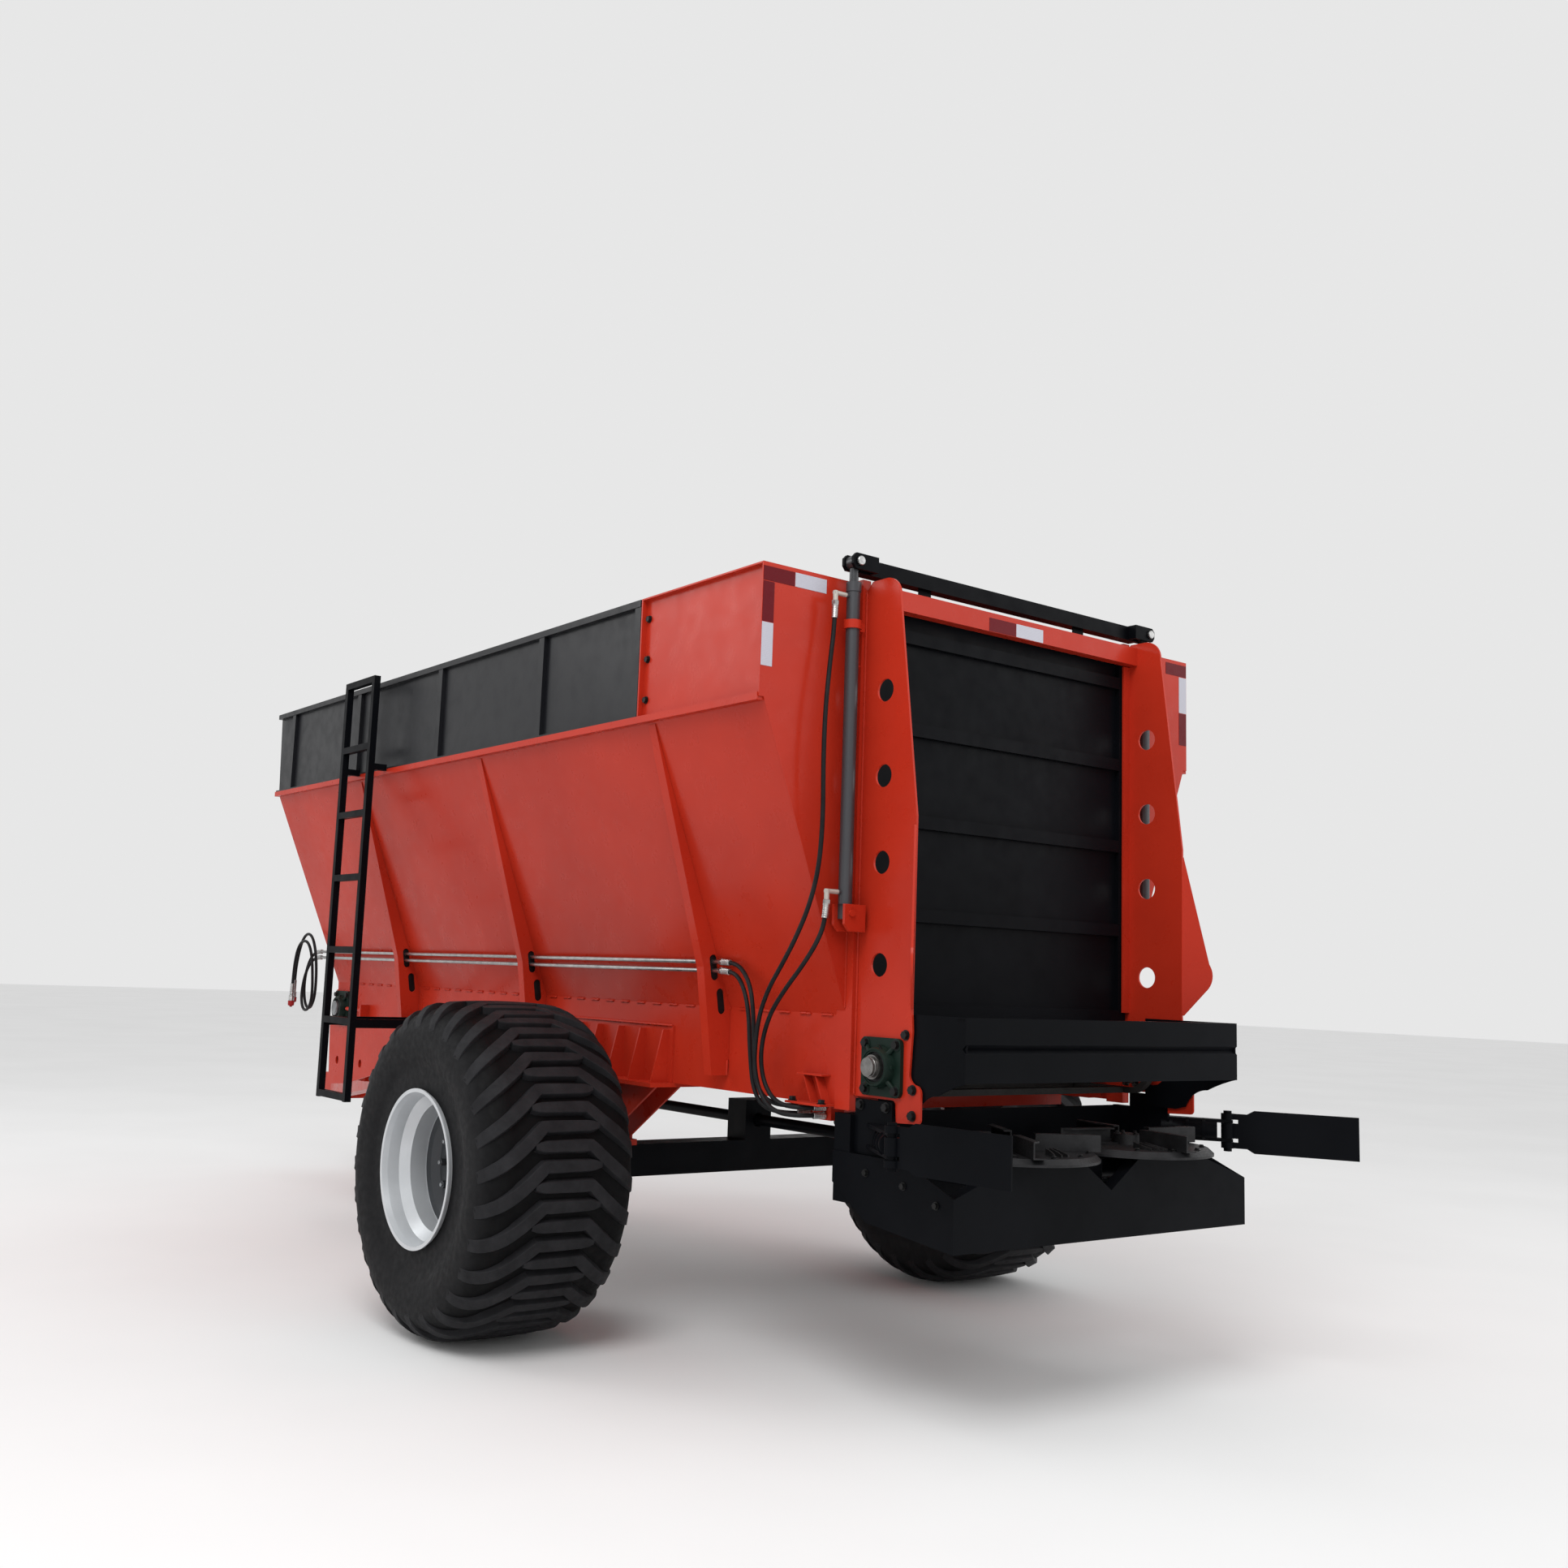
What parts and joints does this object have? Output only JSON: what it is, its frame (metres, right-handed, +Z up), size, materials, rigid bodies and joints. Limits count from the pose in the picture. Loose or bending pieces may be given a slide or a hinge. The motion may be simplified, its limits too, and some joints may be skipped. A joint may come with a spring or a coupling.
{
  "type": "trailed twin-disc spreader",
  "caption": "Trailed V-hopper spreader with floor conveyor, hydraulic rear gate, twin spinning discs, deflector wings, flotation tyres and side ladder.",
  "frame": {"origin": "on the ground, in the middle of the overall length and width", "axes": "+Y forward towards the hitch, +X to the right seen from behind, +Z up"},
  "size_m": [3.2132, 7.1017, 2.883],
  "materials": {
    "red_paint": "gloss orange-red paint on welded plate",
    "black_paint": "semi-gloss black paint",
    "steel": "machined or galvanised steel",
    "worn_steel": "mill-scale steel of the conveyor",
    "grey_paint": "dark grey cylinder paint",
    "bearing_green": "dark green painted casting",
    "rim_silver": "silver rim paint",
    "tyre_rubber": "matt tread rubber",
    "hose_rubber": "wrapped hydraulic hose",
    "disc_black": "worn black disc"
  },
  "bodies": {
    "chassis": {"axle_beam": "black_paint", "axle_bracket_left": "red_paint", "axle_bracket_right": "red_paint", "cheek_left": "red_paint", "cheek_right": "red_paint", "conveyor_chains": "worn_steel", "conveyor_slats": "worn_steel", "cylinder_barrel_left": "grey_paint", "cylinder_barrel_right": "grey_paint", "discharge_hood": "black_paint", "drawbar": "red_paint", "extension_front": "black_paint", "extension_left": "black_paint", "extension_right": "black_paint", "fasteners": "steel", "floor_plate": "worn_steel", "frame_members": "red_paint", "frame_plate_left": "red_paint", "frame_plate_right": "red_paint", "front_hose_lower": "hose_rubber", "front_hose_upper": "hose_rubber", "gearboxes": "black_paint", "hitch_eye": "steel", "hopper_front_wall": "red_paint", "hopper_wall_left": "red_paint", "hopper_wall_right": "red_paint", "hose_couplers": "steel", "jack_sleeve": "black_paint", "ladder": "black_paint", "lift_hose_lower": "hose_rubber", "lift_hose_upper": "hose_rubber", "lower_guard": "black_paint", "rear_crossbar": "red_paint", "rear_panel_left": "red_paint", "rear_panel_right": "red_paint", "shaft_bearings": "bearing_green", "side_pipes": "steel", "side_ribs_left": "red_paint", "side_ribs_right": "red_paint", "spreader_deck": "black_paint", "supply_hose_lower": "hose_rubber", "supply_hose_upper": "hose_rubber"},
    "gate": {"gate_panel": "black_paint", "lift_beam": "black_paint", "cylinder_rod_left": "steel", "cylinder_rod_right": "steel"},
    "wheel_left": {"tyre_left": "tyre_rubber", "wheel_rim_left": "rim_silver"},
    "wheel_right": {"tyre_right": "tyre_rubber", "wheel_rim_right": "rim_silver"},
    "conveyor_drive": {"drive_shaft": "steel"},
    "conveyor_idler": {"idler_shaft": "steel"},
    "spinner_left": {"disc_left": "disc_black", "vanes_left": "disc_black"},
    "spinner_right": {"disc_right": "disc_black", "vanes_right": "disc_black"},
    "drive_line": {"drive_shaft_line": "black_paint"},
    "deflector_left": {"wing_left": "black_paint"},
    "deflector_right": {"wing_right": "black_paint"},
    "jack": {"jack_leg": "steel"}
  },
  "joints": [
    {"name": "gate_slide", "type": "slide", "parent": "chassis", "child": "gate", "axis": [0, 0, 1], "range_m": [0, 0.95]},
    {"name": "wheel_left_spin", "type": "hinge", "parent": "chassis", "child": "wheel_left", "pos_m": [-1.283, -1.26622, 0.636], "axis": [1, 0, 0], "continuous": true},
    {"name": "wheel_right_spin", "type": "hinge", "parent": "chassis", "child": "wheel_right", "pos_m": [1.283, -1.26622, 0.636], "axis": [1, 0, 0], "continuous": true},
    {"name": "conveyor_drive_spin", "type": "hinge", "parent": "chassis", "child": "conveyor_drive", "pos_m": [0, -2.90722, 1.125], "axis": [1, 0, 0], "continuous": true},
    {"name": "conveyor_idler_spin", "type": "hinge", "parent": "chassis", "child": "conveyor_idler", "pos_m": [0, 1.60278, 1.142], "axis": [1, 0, 0], "continuous": true},
    {"name": "spinner_left_spin", "type": "hinge", "parent": "chassis", "child": "spinner_left", "pos_m": [-0.303, -3.10722, 0.82], "axis": [0, 0, 1], "continuous": true},
    {"name": "spinner_right_spin", "type": "hinge", "parent": "chassis", "child": "spinner_right", "pos_m": [0.303, -3.10722, 0.82], "axis": [0, 0, 1], "continuous": true},
    {"name": "drive_line_spin", "type": "hinge", "parent": "chassis", "child": "drive_line", "pos_m": [0, -0.32222, 0.785], "axis": [0, 1, 0], "continuous": true},
    {"name": "deflector_left_hinge", "type": "hinge", "parent": "chassis", "child": "deflector_left", "pos_m": [-0.861, -3.12222, 0.896], "axis": [0, 0, 1], "range_deg": [-37, 4]},
    {"name": "deflector_right_hinge", "type": "hinge", "parent": "chassis", "child": "deflector_right", "pos_m": [0.861, -3.12222, 0.896], "axis": [0, 0, 1], "range_deg": [-37, 4]},
    {"name": "jack_slide", "type": "slide", "parent": "chassis", "child": "jack", "axis": [0, 0, -1], "range_m": [0, 0.25]}
  ],
  "couplings": [
    {"joint": "conveyor_idler_spin", "follows": "conveyor_drive_spin", "ratio": 1},
    {"joint": "spinner_right_spin", "follows": "spinner_left_spin", "ratio": -1},
    {"joint": "drive_line_spin", "follows": "spinner_left_spin", "ratio": 0.6667}
  ]
}
